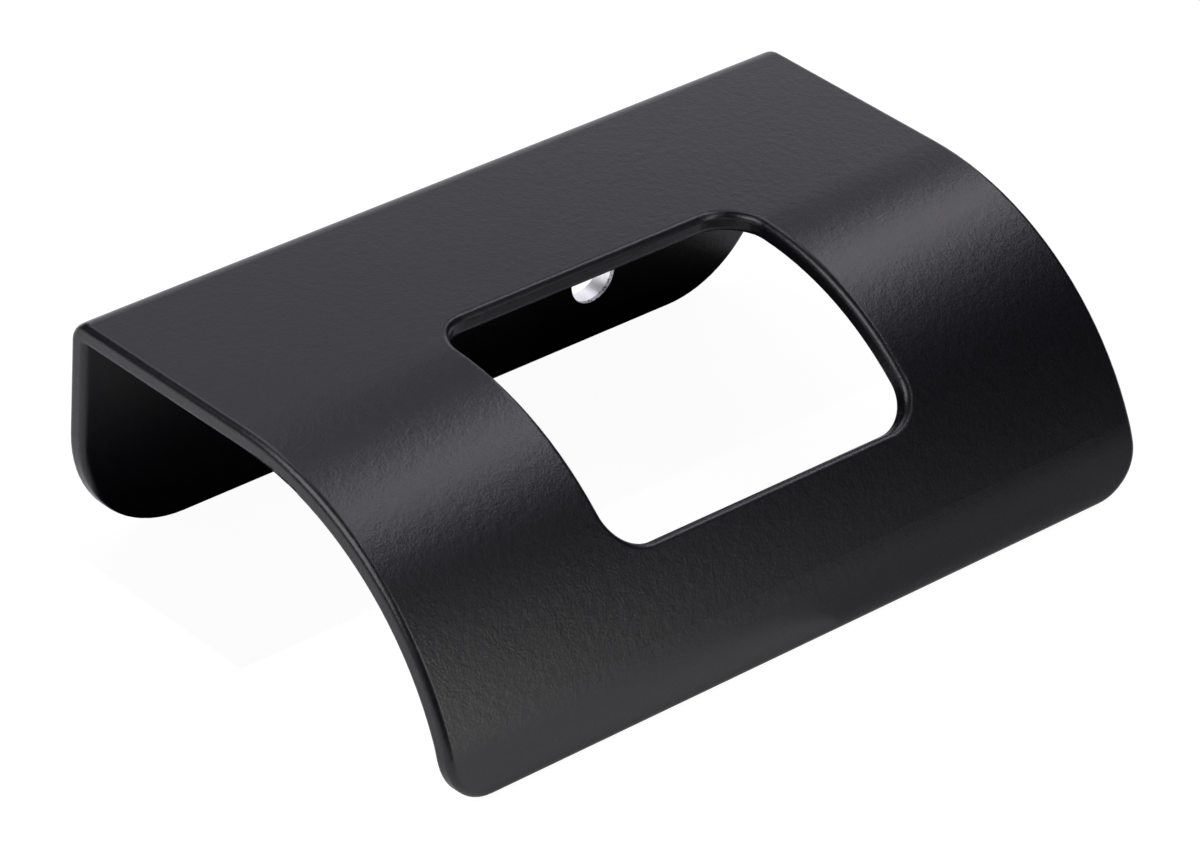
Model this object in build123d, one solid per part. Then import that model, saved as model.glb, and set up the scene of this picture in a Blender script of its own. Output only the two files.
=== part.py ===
from build123d import *
from math import cos, isclose, radians, sin
import os

# Furniture handle, bent from one strip of sheet steel and powder coated.
# Frame: millimetres, +Z up. The origin is midway between the two screw holes, on the outer face
# of the flange. That face looks along +Y, and the grip reaches out along -Y.

# the strip
width = 69.5
sheet = 1.7                    # 1.5 of steel and 0.1 of coat on either side

# the section, along its outer face, from the top of the flange to the edge of the lip
bend_inside = 0.1              # the tight bend between flange and top
flat_reach = 19.0              # from the flange's outer face to where the flat top starts to curve
crown_radius = 25.2            # the wide curve at the front of the top
crown_angle = 64.0
nose_radius = 11.65            # the tighter curve that leads into the lip
nose_angle = 23.1
lip_straight = 1.07

# corners of the flange and of the lip, seen from behind and from the front
flange_corner = 10.0
lip_corner = 3.9

# the window through the top and the crown
window_width = 30.25
window_reach = 16.95           # from the flange's outer face to the window's rear edge
window_length = 23.4           # along the outer face
window_corner = 3.3

# the screw holes in the flange, a clear fit on M4
hole_pitch = 32.0
hole_diameter = 4.5
hole_height = 5.85             # hole centre above the lower edge of the flange

# the coat runs round over the edges of either face
edge_round = 0.55

clear = 1.0                    # how far a cutting body stands past the sheet

# the flange reaches down as far as the lip, so that the handle stands level on both
lip_angle = crown_angle + nose_angle
crown_drop = crown_radius * (1 - cos(radians(crown_angle)))
nose_drop = nose_radius * (cos(radians(crown_angle)) - cos(radians(lip_angle)))
flange_height = crown_drop + nose_drop + lip_straight * sin(radians(lip_angle))

bend_outside = bend_inside + sheet
flange_straight = flange_height - bend_outside
bottom = -hole_height


def section_line(depth):
    """The bent strip's line at a depth below its outer face, from flange edge to lip edge."""
    with BuildLine(Plane.YZ) as line:
        flange = Line((-depth, bottom), (-depth, bottom + flange_straight))
        bend = JernArc(flange @ 1, flange % 1, bend_outside - depth, 90)
        flat = Line(bend @ 1, bend @ 1 + bend % 1 * (flat_reach - bend_outside))
        crown = JernArc(flat @ 1, flat % 1, crown_radius - depth, crown_angle)
        nose = JernArc(crown @ 1, crown % 1, nose_radius - depth, nose_angle)
        Line(nose @ 1, nose @ 1 + nose % 1 * lip_straight)
    return line.wire()


def bent_strip(outer, inner):
    """The strip after bending, its ends cut square and their corners rounded."""
    ends = [Line(outer @ 0, inner @ 0), Line(outer @ 1, inner @ 1)]
    section = make_face(outer.edges() + inner.edges() + ends)
    strip = extrude(section, amount=width / 2, dir=(1, 0, 0), both=True)
    corners = strip.edges().filter_by(lambda edge: isclose(edge.length, sheet)).sort_by(Axis.Y)
    strip = fillet(corners[-2:], flange_corner)
    corners = strip.edges().filter_by(lambda edge: isclose(edge.length, sheet)).sort_by(Axis.Y)
    return fillet(corners[:2], lip_corner)


def square_to(line, reach):
    """A point of the line, so far along it, and the direction that leads out of the sheet there."""
    point = line.position_at(reach, position_mode=PositionMode.LENGTH)
    along = line.tangent_at(reach, position_mode=PositionMode.LENGTH)
    return point, along.cross(Vector(1, 0, 0))


def window(outer):
    """The body that cuts the window: its ends stand square to the sheet and its corners are round."""
    rear = flange_straight + radians(90) * bend_outside + window_reach - bend_outside
    rear_point, rear_out = square_to(outer, rear)
    front_point, front_out = square_to(outer, rear + window_length)
    # this high, the straight line between the two ends passes over the curved sheet
    over = window_length / 2
    under = sheet + clear
    outline = Polyline(
        rear_point + rear_out * over,
        rear_point - rear_out * under,
        front_point - front_out * under,
        front_point + front_out * over,
        close=True,
    )
    body = extrude(make_face(outline.edges()), amount=window_width / 2, dir=(1, 0, 0), both=True)
    corners = body.edges().filter_by(lambda edge: isclose(edge.length, over + under))
    return fillet(corners, window_corner)


def screw_holes():
    """The two holes across the flange."""
    hole = Rot(90, 0, 0) * Cylinder(hole_diameter / 2, sheet + 2 * clear)
    return [Pos(side * hole_pitch / 2, -sheet / 2, 0) * hole for side in (-1, 1)]


def rim(body, line):
    """The edges round the face of the sheet that follows this line of the section."""
    faces = [face for face in body.faces()
             if line.distance_to(Vector(0, face.center().Y, face.center().Z)) < sheet / 100]
    edges = [edge for face in faces for edge in face.edges()]
    return [edge for edge in edges if sum(edge.is_same(other) for other in edges) == 1]


def furniture_handle():
    """The finished handle: bent, pierced by the window, its edges rounded, and drilled."""
    outer = section_line(0)
    inner = section_line(sheet)
    handle = bent_strip(outer, inner) - window(outer)
    for line in (outer, inner):
        handle = fillet(rim(handle, line), min(edge_round, 0.45 * sheet))
    return handle - screw_holes()


os.makedirs("parts", exist_ok=True)
export_step(furniture_handle(), "parts/handle.step")
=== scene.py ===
# %% [markdown]
# # A black furniture handle
# The handle is one strip of sheet steel: cut, pierced, bent and powder coated. The CAD model already
# has its whole form, with the rounded rims, the bends, the window and the screw holes, so no piece is
# modelled here. What is left for this scene is what the eye reads first: how a matt black coat takes
# the light.

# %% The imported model
import bpy
from math import cos, pi, radians, sin
from mathutils import Matrix, Vector


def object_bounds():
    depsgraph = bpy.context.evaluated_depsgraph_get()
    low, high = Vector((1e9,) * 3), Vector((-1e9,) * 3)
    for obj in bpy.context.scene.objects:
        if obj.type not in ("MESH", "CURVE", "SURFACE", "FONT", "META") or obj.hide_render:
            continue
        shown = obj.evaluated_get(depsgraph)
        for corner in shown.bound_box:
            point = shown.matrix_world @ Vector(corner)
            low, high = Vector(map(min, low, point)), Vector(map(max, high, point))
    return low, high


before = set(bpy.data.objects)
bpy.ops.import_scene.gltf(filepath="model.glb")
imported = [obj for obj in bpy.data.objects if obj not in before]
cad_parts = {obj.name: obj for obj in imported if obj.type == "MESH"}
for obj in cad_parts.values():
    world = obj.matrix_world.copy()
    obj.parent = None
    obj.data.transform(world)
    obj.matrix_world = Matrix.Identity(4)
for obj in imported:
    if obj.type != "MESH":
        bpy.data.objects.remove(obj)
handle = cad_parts["handle"]
cad_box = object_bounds()
# Blender counts in metres
MM = 0.001
bpy.ops.object.select_all(action="DESELECT")
print("handle", [round(side / MM, 1) for side in cad_box[1] - cad_box[0]], "mm")

# %% [markdown]
# ## Helpers
# Paint charts give colours as sRGB hex, and the shader wants linear light, so one function turns
# one into the other. A second one adds a shader node, with its settings and its links. Nodes could be
# placed by hand in the shader editor as well, but in code each material stays readable in one place.
# A Mix node has several sockets of one name, so it is linked by their numbers: 0 is the share, 2 and 3
# are the two numbers that it mixes, and 6 and 7 the two colours.

# %% Colour and node helpers
def linear(hex_colour):
    """An sRGB hex colour as linear red, green, blue and alpha."""
    channels = [int(hex_colour[i:i + 2], 16) / 255 for i in (1, 3, 5)]
    return [c / 12.92 if c <= 0.04045 else ((c + 0.055) / 1.055) ** 2.4 for c in channels] + [1.0]


def node(tree, kind, links=None, **settings):
    """Adds a shader node. A link is an output socket, a number or a colour, by input name or number."""
    new = tree.nodes.new(kind)
    for name, value in settings.items():
        setattr(new, name, value)
    for name, value in (links or {}).items():
        if isinstance(value, bpy.types.NodeSocket):
            tree.links.new(value, new.inputs[name])
        else:
            new.inputs[name].default_value = value
    return new


def new_material(name):
    """An empty node material and its tree."""
    material = bpy.data.materials.new(name)
    material.use_nodes = True
    material.node_tree.nodes.clear()
    return material, material.node_tree


print("a dark grey", [round(c, 4) for c in linear("#1c1c1f")])

# %% [markdown]
# ## Bare steel in the screw holes
# The screw holes were drilled clear after coating, so their walls show bare steel, with flecks of powder
# left on the strip next to the flange's inner face. The walls could have a material slot of their own,
# but the CAD model's mesh stays as it is. So the steel is found by its place: within a hole's radius
# of its axis, and inside the flange. The two holes mirror each other, and one sum does for both.

# %% Where the steel is bare
HOLE_PITCH = 32.0 * MM
HOLE_RADIUS = 2.25 * MM
FLANGE = 1.7 * MM
FLECKED_STRIP = 0.35 * MM
# the mask reaches this many times the hole's radius and the flange's thickness, just past the walls
HAIR = 1.005


def bare_steel_mask(tree, place):
    """One on the walls of the screw holes, nought elsewhere; and one on their flecked strip."""
    mirrored = node(tree, "ShaderNodeVectorMath", {0: place}, operation="ABSOLUTE")
    from_hole = node(tree, "ShaderNodeVectorMath", {0: mirrored.outputs[0], 1: (HOLE_PITCH / 2, 0, 0)},
                     operation="SUBTRACT")
    across = node(tree, "ShaderNodeVectorMath", {0: from_hole.outputs[0], 1: (1, 0, 1)},
                  operation="MULTIPLY")
    radius = node(tree, "ShaderNodeVectorMath", {0: across.outputs[0]}, operation="LENGTH")
    inside = node(tree, "ShaderNodeMath", {0: radius.outputs["Value"], 1: HAIR * HOLE_RADIUS},
                  operation="LESS_THAN")
    depth = node(tree, "ShaderNodeSeparateXYZ", {0: mirrored.outputs[0]}).outputs["Y"]
    in_flange = node(tree, "ShaderNodeMath", {0: depth, 1: HAIR * FLANGE}, operation="LESS_THAN")
    steel = node(tree, "ShaderNodeMath", {0: inside.outputs[0], 1: in_flange.outputs[0]},
                 operation="MULTIPLY")
    strip = node(tree, "ShaderNodeMath", {0: depth, 1: FLANGE - FLECKED_STRIP}, operation="GREATER_THAN")
    return steel.outputs[0], strip.outputs[0]


print("screw holes at x =", [side * HOLE_PITCH / 2 / MM for side in (-1, 1)], "mm")

# %% [markdown]
# ## The coat's skin
# Powder coat is a dry polyester powder that is baked until it flows together. It never flows quite
# flat: the skin keeps a faint orange peel, with waves of just under a millimetre, and a grain of its
# own that is finer. Both could be painted in an image, but noise in Object coordinates needs no
# unwrapping and keeps its size round the bends. They tilt the skin by a hair only, which bump shows as
# well as real height would.

# %% Orange peel and grain
PEEL_WAVE, PEEL_HEIGHT = 0.7 * MM, 0.018 * MM
# the real grain is about 0.05 mm: it is drawn as coarse as it needs to show
GRAIN, GRAIN_HEIGHT = 0.20 * MM, 0.014 * MM


def coat_skin(tree, place):
    """The coat's grain as a number, and its skin as a normal: orange peel with the grain on it."""
    peel = node(tree, "ShaderNodeTexNoise", {"Vector": place, "Scale": 1 / PEEL_WAVE})
    grain = node(tree, "ShaderNodeTexNoise", {"Vector": place, "Scale": 1 / GRAIN}).outputs["Fac"]
    waves = node(tree, "ShaderNodeBump", {"Height": peel.outputs["Fac"], "Distance": PEEL_HEIGHT})
    skin = node(tree, "ShaderNodeBump", {"Height": grain, "Distance": GRAIN_HEIGHT,
                                         "Normal": waves.outputs[0]})
    return grain, skin.outputs[0]


print("orange peel", round(PEEL_WAVE / MM, 2), "mm, grain", round(GRAIN / MM, 2), "mm")

# %% [markdown]
# ## Black, and bare steel
# Seen close, the coat isn't one even black, so its grain also mixes two blacks. The drilled steel is
# clean and bright, and the flecked strip is duller. The flecks could be drawn one by one, but the noise
# that makes the grain scatters them as well, where it rises above a threshold.

# %% The colours of coat and steel
COAT_BLACK, COAT_GRAIN = "#000004", "#0b0a11"
# noise keeps near its middle, so this much of its range is spread over the two blacks
GRAIN_LOW, GRAIN_HIGH = 0.35, 0.65
BRIGHT_STEEL, DULL_STEEL, FLECK = "#fbfbfb", "#c8c8cb", "#1c1c1f"
FLECK_THRESHOLD = 0.58


def coat_colour(tree, grain):
    """Black, a little uneven with the grain."""
    grains = node(tree, "ShaderNodeMapRange", {"Value": grain, "From Min": GRAIN_LOW,
                                               "From Max": GRAIN_HIGH})
    black = node(tree, "ShaderNodeMix", {0: grains.outputs[0], 6: linear(COAT_BLACK), 7: linear(COAT_GRAIN)},
                 data_type="RGBA")
    return black.outputs[2]


def steel_colour(tree, grain, strip):
    """Bright steel, and on its strip duller steel with flecks of powder."""
    specks = node(tree, "ShaderNodeMath", {0: grain, 1: FLECK_THRESHOLD}, operation="GREATER_THAN")
    fleck = node(tree, "ShaderNodeMath", {0: strip, 1: specks.outputs[0]}, operation="MULTIPLY")
    wall = node(tree, "ShaderNodeMix", {0: strip, 6: linear(BRIGHT_STEEL), 7: linear(DULL_STEEL)},
                data_type="RGBA")
    bare = node(tree, "ShaderNodeMix", {0: fleck.outputs[0], 6: wall.outputs[2], 7: linear(FLECK)},
                data_type="RGBA")
    return bare.outputs[2]


print("coat", COAT_BLACK, "to", COAT_GRAIN, "and steel", BRIGHT_STEEL, "to", DULL_STEEL)

# %% [markdown]
# ## One material for both
# The coat is a plastic, with an IOR of about 1.5 and no metallic part, here black and matt. Steel is
# metallic, so its own colour tints what it mirrors. The handle has one material slot, so one shader is
# both, and the mask says at each point which it is.

# %% The coat's material
COAT_IOR, COAT_ROUGHNESS = 1.5, 0.34
BRIGHT_ROUGHNESS, DULL_ROUGHNESS = 0.5, 0.6


def powder_coat():
    """Matt black powder coat, with bare steel in the screw holes."""
    material, tree = new_material("matt_black_powder_coat")
    place = node(tree, "ShaderNodeTexCoord").outputs["Object"]
    steel, strip = bare_steel_mask(tree, place)
    grain, skin = coat_skin(tree, place)
    colour = node(tree, "ShaderNodeMix", {0: steel, 6: coat_colour(tree, grain),
                                          7: steel_colour(tree, grain, strip)}, data_type="RGBA")
    wall_roughness = node(tree, "ShaderNodeMix", {0: strip, 2: BRIGHT_ROUGHNESS, 3: DULL_ROUGHNESS})
    roughness = node(tree, "ShaderNodeMix", {0: steel, 2: COAT_ROUGHNESS, 3: wall_roughness.outputs[0]})
    shader = node(tree, "ShaderNodeBsdfPrincipled", {
        "Base Color": colour.outputs[2], "Metallic": steel, "Roughness": roughness.outputs[0],
        "IOR": COAT_IOR, "Normal": skin})
    node(tree, "ShaderNodeOutputMaterial", {"Surface": shader.outputs[0]})
    return material


coat = powder_coat()
handle.material_slots[0].material = coat
print("coat:", len(coat.node_tree.nodes), "nodes on", handle.name)

# %% [markdown]
# ## Table
# The handle stands on the lower edges of its flange and its lip, on a plain pale table that runs on to
# the horizon, as a paper sweep does in a small studio. Under lamps that suit black, real white paper
# would come out grey. More light would spoil the black, so the table gets a white of its own: full for
# the camera, faint in the handle's gloss, and none that lights the handle. Its matt part still takes
# the lamps. It is darker for the camera than for the handle, which leaves a faint shadow.

# %% The table
def pale_table(own_grey, shadow_grey, seen, mirrored):
    """A matt pale table with a white of its own, so strong for the camera and so strong in gloss."""
    material, tree = new_material("pale_table")
    path = node(tree, "ShaderNodeLightPath")
    grey = node(tree, "ShaderNodeMix", {0: path.outputs["Is Camera Ray"], 6: linear(own_grey),
                                        7: linear(shadow_grey)}, data_type="RGBA")
    table = node(tree, "ShaderNodeBsdfDiffuse", {"Color": grey.outputs[2]})
    gloss = node(tree, "ShaderNodeMath", {0: path.outputs["Is Glossy Ray"],
                                          1: path.outputs["Is Transmission Ray"]}, operation="MAXIMUM")
    faint = node(tree, "ShaderNodeMath", {0: gloss.outputs[0], 1: mirrored}, operation="MULTIPLY")
    white = node(tree, "ShaderNodeMath", {0: path.outputs["Is Camera Ray"], 1: seen, 2: faint.outputs[0]},
                 operation="MULTIPLY_ADD")
    light = node(tree, "ShaderNodeEmission", {"Color": linear("#ffffff"), "Strength": white.outputs[0]})
    both = node(tree, "ShaderNodeAddShader", {0: table.outputs[0], 1: light.outputs[0]})
    node(tree, "ShaderNodeOutputMaterial", {"Surface": both.outputs[0]})
    return material


FLOOR_HALF = 6.0
bpy.ops.mesh.primitive_plane_add(size=2 * FLOOR_HALF, location=(0, 0, cad_box[0].z))
floor = bpy.context.object
floor.name = "floor"
floor.data.materials.append(pale_table("#e7e7e7", "#5a5a5a", seen=0.96, mirrored=0.20))
print("floor at", round(cad_box[0].z / MM, 2), "mm")

# %% [markdown]
# ## Cards of painted shade
# Two cards paint shade into the handle's gloss, out of the picture. The black one is painted shade
# under the flat top: it keeps the inside of the flange dark, where the gloss would mirror the lit table.
# The grey one is painted half shade in front, at the right, where the lip would mirror the table too
# brightly. A darker table would do both as well, but it would darken the other end too. Each card is a
# plane just above the table, and neither shows to the camera or throws a shadow.

# %% Two cards of painted shade on the table
CARD_LIFT = 0.05 * MM


def card(name, left, right, front, back, grey):
    """A matt card of painted shade just above the table, seen in the handle's gloss and not by the camera.
    """
    bpy.ops.object.select_all(action="DESELECT")
    middle = ((left + right) / 2, (front + back) / 2, cad_box[0].z + CARD_LIFT)
    bpy.ops.mesh.primitive_plane_add(size=1, location=middle)
    sheet = bpy.context.object
    sheet.name = name
    sheet.scale = (right - left, back - front, 1)
    bpy.ops.object.transform_apply(location=False, rotation=False, scale=True)
    sheet.visible_camera = sheet.visible_shadow = False
    material, tree = new_material(name)
    matt = node(tree, "ShaderNodeBsdfDiffuse", {"Color": linear(grey)})
    node(tree, "ShaderNodeOutputMaterial", {"Surface": matt.outputs[0]})
    sheet.data.materials.append(material)
    print(name, [round(side / MM) for side in sheet.dimensions], "mm")


# painted shade: a black sheet under the flat top, mirrored by the inside of the flange instead of the table
card("painted_shade_black_card", left=cad_box[0].x, right=cad_box[1].x, front=-20 * MM, back=0, grey="#050505")
# painted half shade: a grey sheet in front, at the right, mirrored by the lip instead of the bright table
card("painted_shade_grey_card", left=4 * MM, right=120 * MM, front=-110 * MM, back=cad_box[0].y - 1 * MM, grey="#bcbcbc")

# %% [markdown]
# ## Camera
# A long lens, well back, looks down over the left end of the handle, and the camera is rolled by a few
# degrees, as the picture was. A near, wide lens could fill the frame too, but its perspective would
# spread the left end. The direction to the camera is given by two angles, as the lamps' are below, and
# one function places them all. The lens is in millimetres, for Blender's usual sensor 36 mm wide.

# %% Camera
AZIMUTH, ELEVATION, ROLL = -44.87, 31.83, 4.10
DISTANCE = 462.9 * MM
AIM = Vector((-1.97, -21.72, 2.715)) * MM
LENS = 188.18


def direction(azimuth, elevation):
    """Unit vector from the object: azimuth 0 is the front, -Y, and 90 is the right, +X."""
    a, e = radians(azimuth), radians(elevation)
    return Vector((sin(a) * cos(e), -cos(a) * cos(e), sin(e)))


def looking_in(azimuth, elevation, distance, roll):
    """The place of a camera or a lamp that looks at the handle from this direction and distance."""
    out = direction(azimuth, elevation)
    side = Vector((0, 0, 1)).cross(out).normalized()
    turn = Matrix((side, out.cross(side), out)).transposed().to_4x4()
    return Matrix.Translation(AIM + out * distance) @ turn @ Matrix.Rotation(radians(roll), 4, "Z")


camera_data = bpy.data.cameras.new("camera")
camera_data.lens = LENS
camera_data.sensor_fit = "HORIZONTAL"
camera_data.clip_start = 0.01
camera_data.clip_end = 50.0
camera = bpy.data.objects.new("camera", camera_data)
bpy.context.scene.collection.objects.link(camera)
camera.matrix_world = looking_in(AZIMUTH, ELEVATION, DISTANCE, ROLL)
bpy.context.scene.camera = camera
print("camera at", [round(c, 3) for c in camera.location])

# %% [markdown]
# ## Light
# A black coat shows its lamps and little else, so each soft box is placed by where the coat mirrors it.
# The board behind, at the right, lights the back bend and fades along the flat top, and the big box
# high behind evens it out. The long one overhead, to the right, draws the broad band along the start of
# the curve. The narrow one low in front lights the lower half of the curve and the lip, and the one at
# the left the end of the sheet. The smallest stands behind the flange, for the steel in the screw hole.
# An area lamp's power grows with its size, so each is given by how bright it looks instead.

# %% A soft box
def softbox(name, azimuth, elevation, distance, size, brightness, tint, roll=0):
    """A rectangular soft box that looks at the handle; at a brightness of 1 it shows as plain white."""
    data = bpy.data.lights.new(name, "AREA")
    data.shape = "RECTANGLE"
    data.size, data.size_y = size
    data.energy = brightness * pi * data.size * data.size_y
    data.color = linear(tint)[:3]
    lamp = bpy.data.objects.new(name, data)
    bpy.context.scene.collection.objects.link(lamp)
    lamp.matrix_world = looking_in(azimuth, elevation, distance, roll)
    lamp.visible_camera = False
    print(name, round(data.energy, 3), "W")


# %% The six soft boxes, in degrees and metres
softbox("back_board", azimuth=136.1, elevation=14.1, distance=0.185, size=(0.160, 0.111),
        brightness=1.03, tint="#f8f6ff")
softbox("overhead_box", azimuth=89.2, elevation=57.0, distance=0.568, size=(0.089, 0.543),
        brightness=5.10, tint="#f7f4ff", roll=51.0)
softbox("front_box", azimuth=15.0, elevation=24.6, distance=0.216, size=(0.051, 0.217),
        brightness=4.40, tint="#fffdfd", roll=6.0)
softbox("top_back_box", azimuth=156.4, elevation=56.4, distance=0.80, size=(0.405, 0.463),
        brightness=2.18, tint="#f6f3ff", roll=-1)
softbox("left_box", azimuth=-91.6, elevation=38.0, distance=0.153, size=(0.124, 0.100),
        brightness=4.20, tint="#fffdff")
softbox("hole_box", azimuth=-163.6, elevation=3.4, distance=0.065, size=(0.030, 0.023),
        brightness=3.00, tint="#ffffff")

# %% [markdown]
# The rest of the studio is all but dark, so that nothing else shows in the coat. A picture of a room as
# the world would light it as well, but each soft box can then no longer be moved by itself. The
# Standard view shows each colour as it is written, with no film curve.

# %% World and view
WORLD_STRENGTH = 0.005

world = bpy.data.worlds.new("studio")
world.use_nodes = True
background = world.node_tree.nodes["Background"]
background.inputs["Color"].default_value = linear("#ffffff")
background.inputs["Strength"].default_value = WORLD_STRENGTH
bpy.context.scene.world = world
bpy.context.scene.view_settings.view_transform = "Standard"
print("world", world.name, "at", WORLD_STRENGTH)
